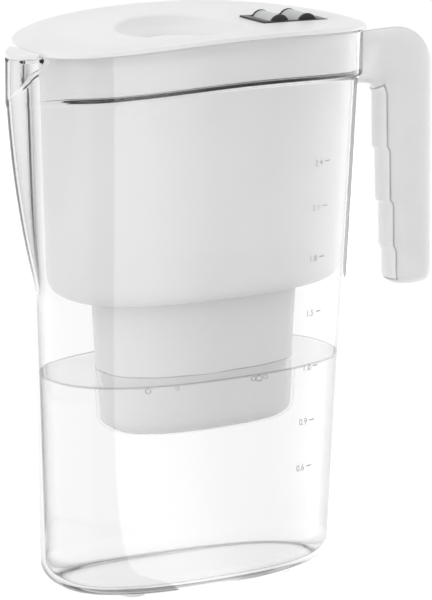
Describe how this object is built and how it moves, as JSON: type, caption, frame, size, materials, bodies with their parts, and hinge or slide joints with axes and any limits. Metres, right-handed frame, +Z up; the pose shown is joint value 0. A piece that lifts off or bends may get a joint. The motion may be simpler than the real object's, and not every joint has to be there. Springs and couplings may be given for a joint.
{
  "type": "water filter pitcher",
  "caption": "Slim oval water filter pitcher with a hinged spout flap and fill flap, lift-off lid with dial wheels, removable funnel, drop-in filter cartridge and hanging hook handle.",
  "frame": {"origin": "centre of the whole object's outline in plan, at the surface it stands on", "axes": "+Z up, +X towards the handle and -X towards the spout, +Y across the pitcher's narrow width; the picture is taken from the -Y side"},
  "size_m": [0.2384, 0.109, 0.2741],
  "materials": {
    "clear_plastic": "clear, glossy",
    "frosted_plastic": "milky, translucent, satin",
    "white_plastic": "satin white",
    "soft_white": "matte soft-touch",
    "black_plastic": "matte black",
    "grey_plastic": "satin light grey",
    "pin_steel": "drawn wire",
    "foot_rubber": "matte translucent grey",
    "seal_rubber": "smooth silicone",
    "media": "granular, dark",
    "fleece": "non-woven fleece"
  },
  "bodies": {
    "jug": {"jug_body": "clear_plastic", "foot_pads": "foot_rubber", "handle_frame": "white_plastic", "handle_grip": "soft_white", "handle_strip": "soft_white"},
    "funnel": {"funnel": "frosted_plastic"},
    "cartridge": {"cartridge_shell": "white_plastic", "cartridge_cap": "white_plastic", "cartridge_seal": "seal_rubber", "filter_media": "media", "upper_fleece": "fleece", "lower_sieve": "fleece"},
    "lid": {"lid_shell": "white_plastic", "fill_flap_pin": "pin_steel", "spout_flap_pin": "pin_steel", "indicator_bezel": "black_plastic", "wheel_axles": "pin_steel"},
    "fill_flap": {"fill_flap": "grey_plastic"},
    "spout_flap": {"spout_flap": "white_plastic"},
    "day_wheel": {"day_wheel": "black_plastic", "day_scale": "grey_plastic"},
    "month_wheel": {"month_wheel": "black_plastic", "month_scale": "grey_plastic"}
  },
  "joints": [
    {"name": "funnel_lift", "type": "slide", "parent": "jug", "child": "funnel", "axis": [0, 0, 1], "range_m": [0, 0.2]},
    {"name": "lid_lift", "type": "slide", "parent": "funnel", "child": "lid", "axis": [0, 0, 1], "range_m": [0, 0.1]},
    {"name": "cartridge_lift", "type": "slide", "parent": "funnel", "child": "cartridge", "axis": [0, 0, 1], "range_m": [0, 0.05]},
    {"name": "fill_flap_hinge", "type": "hinge", "parent": "lid", "child": "fill_flap", "pos_m": [0.00235, 0, 0.2589], "axis": [0, -1, 0], "range_deg": [0, 80], "stiffness_Nm_per_rad": 0.001, "springref_deg": -91.67},
    {"name": "spout_flap_hinge", "type": "hinge", "parent": "lid", "child": "spout_flap", "pos_m": [-0.10635, 0, 0.2634], "axis": [0, 1, 0], "range_deg": [0, 45]},
    {"name": "day_wheel_turn", "type": "hinge", "parent": "lid", "child": "day_wheel", "pos_m": [0.0272, 0, 0.26776], "axis": [0, 1, 0], "continuous": true},
    {"name": "month_wheel_turn", "type": "hinge", "parent": "lid", "child": "month_wheel", "pos_m": [0.04298, 0, 0.26693], "axis": [0, 1, 0], "continuous": true}
  ]
}
